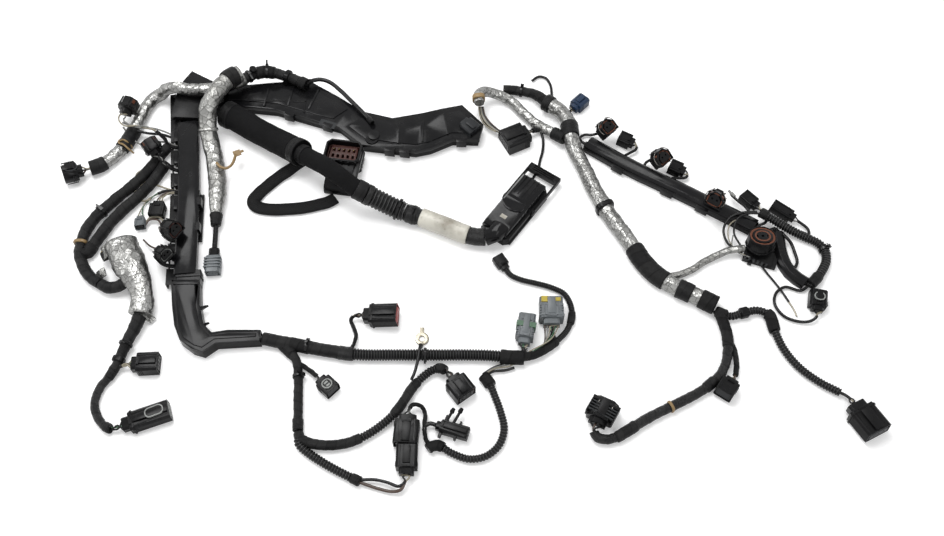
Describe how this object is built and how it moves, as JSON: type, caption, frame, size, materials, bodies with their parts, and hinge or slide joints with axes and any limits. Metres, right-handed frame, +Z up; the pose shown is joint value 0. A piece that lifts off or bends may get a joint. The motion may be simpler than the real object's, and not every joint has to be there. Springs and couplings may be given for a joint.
{
  "type": "wiring harness",
  "caption": "Engine wiring harness with rigid cable troughs, a thick wrapped trunk, a lever-locked control-unit plug, foil and conduit branches ending in plugs and a ring terminal.",
  "frame": {"origin": "on the surface the harness lies on, under the middle of the troughs and the two large plugs", "axes": "+X from the left trough to the right trough, +Y from the lower branches to the back trough, +Z up"},
  "size_m": [1.2165, 0.7214, 0.078],
  "materials": {
    "black_plastic": "black moulded plastic, satin, dusty",
    "cover_plastic": "black moulded plastic, slightly glossy",
    "cloth_tape": "matte black cloth tape",
    "conduit_plastic": "semi-gloss black corrugated conduit",
    "foil": "bright crumpled foil wrap, scuffed",
    "label_film": "off-white printed-label sleeve, left bare, stained",
    "grey_plastic": "grey moulded plastic",
    "braid": "black flat braided sleeve",
    "terminal_red": "red-brown terminal block",
    "tinned": "tinned copper",
    "blue_plastic": "blue moulded plastic"
  },
  "bodies": {
    "harness": {"left_trough_channel": "black_plastic", "left_plug_1": "black_plastic", "left_plug_2": "black_plastic", "left_plug_4": "black_plastic", "left_plug_6": "black_plastic", "back_trough_channel": "black_plastic", "corner_box": "black_plastic", "right_trough_channel": "black_plastic", "right_plug_1": "black_plastic", "right_plug_2": "black_plastic", "right_plug_3": "black_plastic", "unit_plug_housing": "black_plastic", "socket_plug_housing": "black_plastic", "left_round_plug": "black_plastic", "six_way_plug": "black_plastic", "flat_three_way_plug": "black_plastic", "pink_seal_plug": "black_plastic", "square_plug": "black_plastic", "tall_plug_lower": "black_plastic", "tall_plug_upper": "black_plastic", "clip_plug": "black_plastic", "black_multiway_plug": "black_plastic", "compact_plug": "black_plastic", "tail_plug": "black_plastic", "end_plug": "black_plastic", "seal_ring_plug": "black_plastic", "left_trough_cover": "cover_plastic", "left_elbow_cover": "cover_plastic", "back_trough_cover": "cover_plastic", "right_trough_cover": "cover_plastic", "right_end_trough": "cover_plastic", "unit_plug_wire_cover": "cover_plastic", "left_trough_cables": "cloth_tape", "back_trough_cables": "cloth_tape", "right_trough_cables": "cloth_tape", "trunk_sleeve": "cloth_tape", "trunk_tail": "cloth_tape", "left_taped_pair": "cloth_tape", "left_tail": "cloth_tape", "back_run": "cloth_tape", "right_tail_branches": "cloth_tape", "ground_lead": "cloth_tape", "trunk_conduit": "conduit_plastic", "lower_trunk": "conduit_plastic", "arc_conduits": "conduit_plastic", "loop_conduit": "conduit_plastic", "right_loop": "conduit_plastic", "left_foil_branch": "foil", "drop_foil_sleeve": "foil", "foil_bundle": "foil", "right_foil_branch": "foil", "trunk_label_sleeve": "label_film", "comb_plug": "grey_plastic", "grey_plug_a": "grey_plastic", "grey_plug_b": "grey_plastic", "braided_loop": "braid", "socket_plug_terminals": "terminal_red", "ring_terminal": "tinned", "blue_plug": "blue_plastic"},
    "lever": {"unit_plug_lever": "black_plastic"}
  },
  "joints": [
    {"name": "lever_turn", "type": "hinge", "parent": "harness", "child": "lever", "pos_m": [0.07205, -0.00008, 0.012], "axis": [0.8131, -0.5821, 0], "range_deg": [0, 80]}
  ]
}
